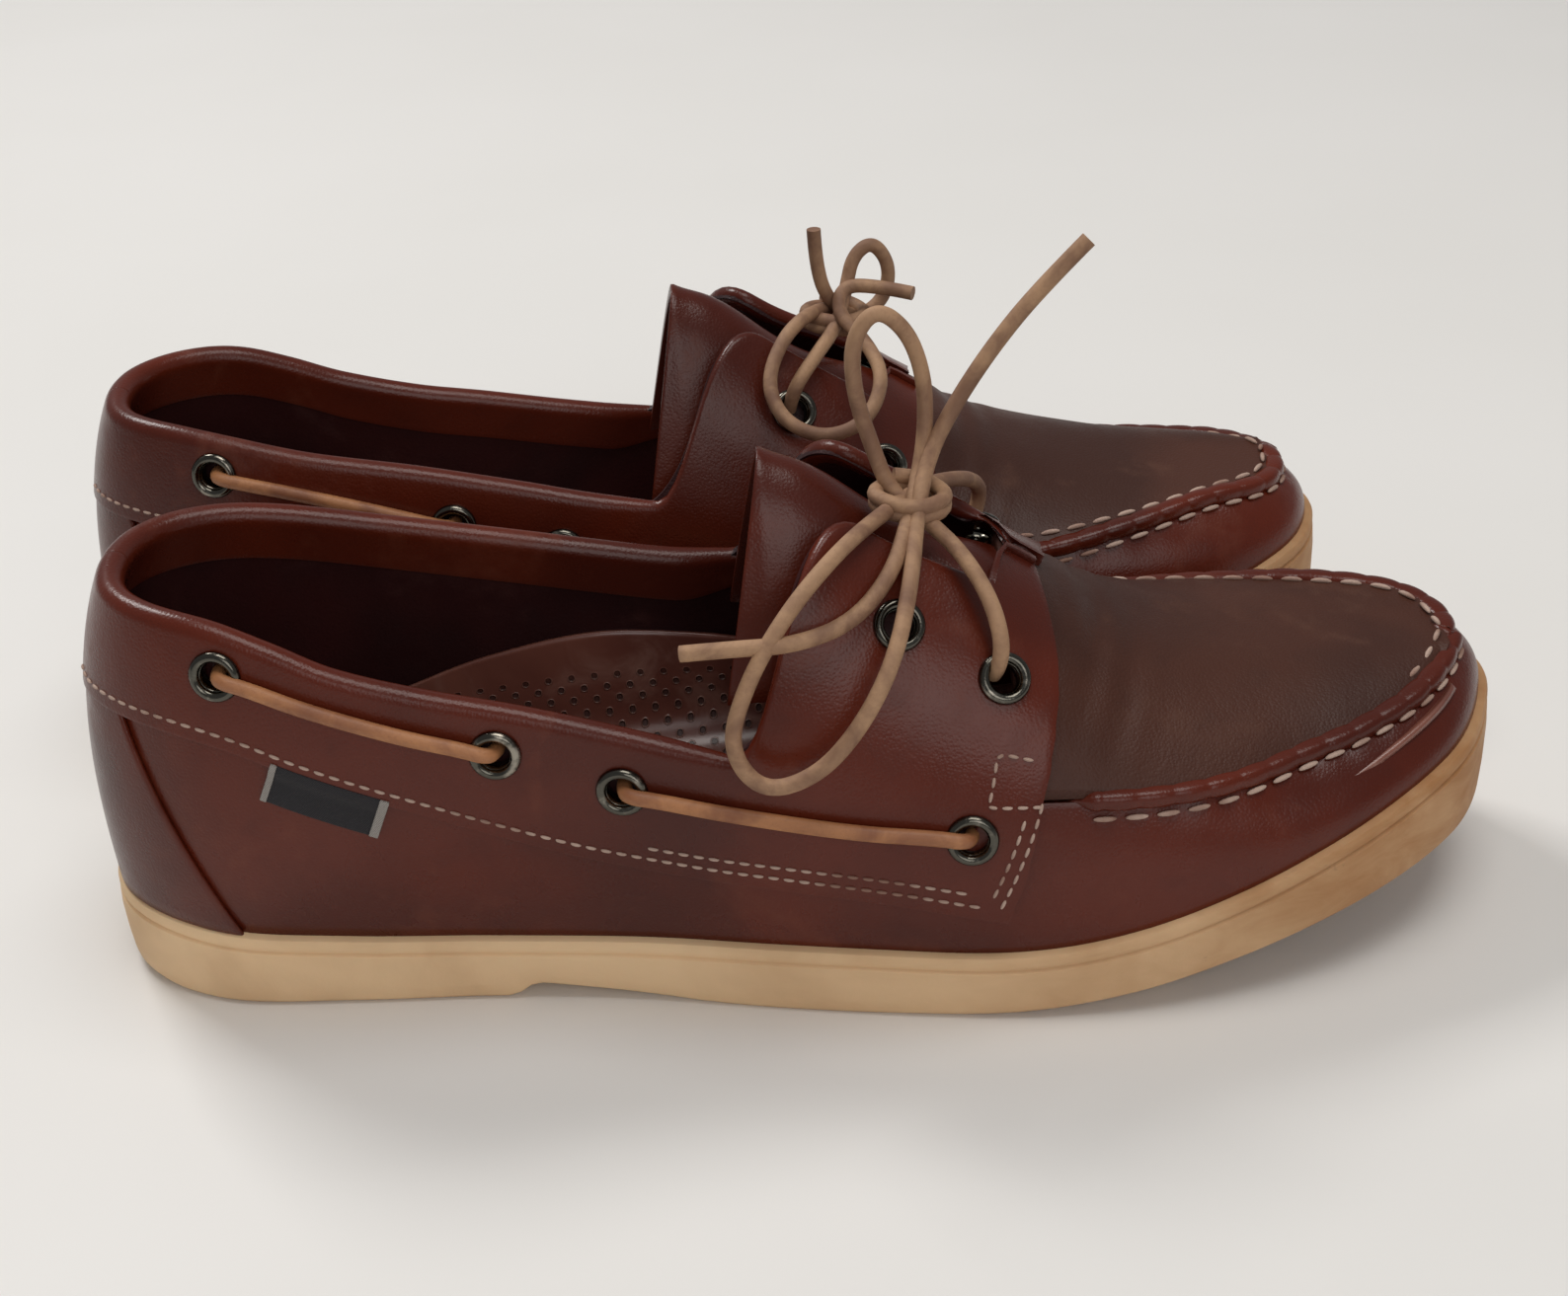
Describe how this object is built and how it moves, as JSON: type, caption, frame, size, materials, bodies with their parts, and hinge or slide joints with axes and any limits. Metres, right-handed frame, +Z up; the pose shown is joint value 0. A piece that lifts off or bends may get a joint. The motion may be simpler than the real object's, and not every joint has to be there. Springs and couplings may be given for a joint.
{
  "type": "pair of deck shoes",
  "caption": "Low moccasin-toe leather deck shoes with cream gum soles, metal eyelets, a rawhide side lace and rawhide bows.",
  "frame": {"origin": "on the floor, below the centre of the pair's box without its bows", "axes": "+X from heels to toes along the right shoe, +Y from the right shoe to the left shoe, +Z up"},
  "size_m": [0.319, 0.1968, 0.1462],
  "materials": {
    "upper_leather": "smooth waxed red-brown leather",
    "plug_leather": "worn matte red-brown leather",
    "footbed_leather": "perforated cushioned leather",
    "lining_leather": "dark unlined leather side",
    "gum_rubber": "matte cream gum rubber",
    "fibre_board": "pressed fibre board",
    "stiffener": "moulded heel stiffener",
    "foam": "soft collar foam",
    "eyelet_metal": "aged dark bronze",
    "side_rawhide": "waxed rawhide cord",
    "bow_rawhide": "dry tan rawhide cord",
    "thread": "waxed cream thread",
    "woven_label": "plain woven tag"
  },
  "bodies": {
    "right_shoe": {"right_outsole": "gum_rubber", "right_lasting_board": "fibre_board", "right_footbed": "footbed_leather", "right_wall": "upper_leather", "right_backstay": "upper_leather", "right_plug": "plug_leather", "right_lateral_quarter": "upper_leather", "right_medial_quarter": "upper_leather", "right_lateral_backing": "fibre_board", "right_medial_backing": "fibre_board", "right_collar_padding": "foam", "right_heel_stiffener": "stiffener", "right_quarter_lining": "lining_leather", "right_toe_lining": "lining_leather", "right_collar_roll": "upper_leather", "right_throat_bridge": "upper_leather", "right_tongue_root": "upper_leather", "right_side_eyelets": "eyelet_metal", "right_front_eyelets": "eyelet_metal", "right_side_lace": "side_rawhide", "right_seam_stitches": "thread", "right_band_stitches": "thread", "right_label": "woven_label", "right_knot": "bow_rawhide", "right_bow_lace_lateral": "bow_rawhide", "right_bow_lace_medial": "bow_rawhide"},
    "right_tongue": {"right_tongue_flap": "upper_leather"},
    "left_shoe": {"left_outsole": "gum_rubber", "left_lasting_board": "fibre_board", "left_footbed": "footbed_leather", "left_wall": "upper_leather", "left_backstay": "upper_leather", "left_plug": "plug_leather", "left_lateral_quarter": "upper_leather", "left_medial_quarter": "upper_leather", "left_lateral_backing": "fibre_board", "left_medial_backing": "fibre_board", "left_collar_padding": "foam", "left_heel_stiffener": "stiffener", "left_quarter_lining": "lining_leather", "left_toe_lining": "lining_leather", "left_collar_roll": "upper_leather", "left_throat_bridge": "upper_leather", "left_tongue_root": "upper_leather", "left_side_eyelets": "eyelet_metal", "left_front_eyelets": "eyelet_metal", "left_side_lace": "side_rawhide", "left_seam_stitches": "thread", "left_band_stitches": "thread", "left_label": "woven_label", "left_knot": "bow_rawhide", "left_bow_lace_lateral": "bow_rawhide", "left_bow_lace_medial": "bow_rawhide"},
    "left_tongue": {"left_tongue_flap": "upper_leather"}
  },
  "joints": [
    {"name": "left_shoe_apart", "type": "slide", "parent": "right_shoe", "child": "left_shoe", "axis": [0, 1, 0], "range_m": [0, 0.2]},
    {"name": "right_tongue_fold", "type": "hinge", "parent": "right_shoe", "child": "right_tongue", "pos_m": [0.03337, -0.04805, 0.076], "axis": [0, 1, 0], "range_deg": [-20, 4]},
    {"name": "left_tongue_fold", "type": "hinge", "parent": "left_shoe", "child": "left_tongue", "pos_m": [0.01283, 0.04628, 0.076], "axis": [-0.0536, 0.9986, 0], "range_deg": [-20, 4]}
  ]
}
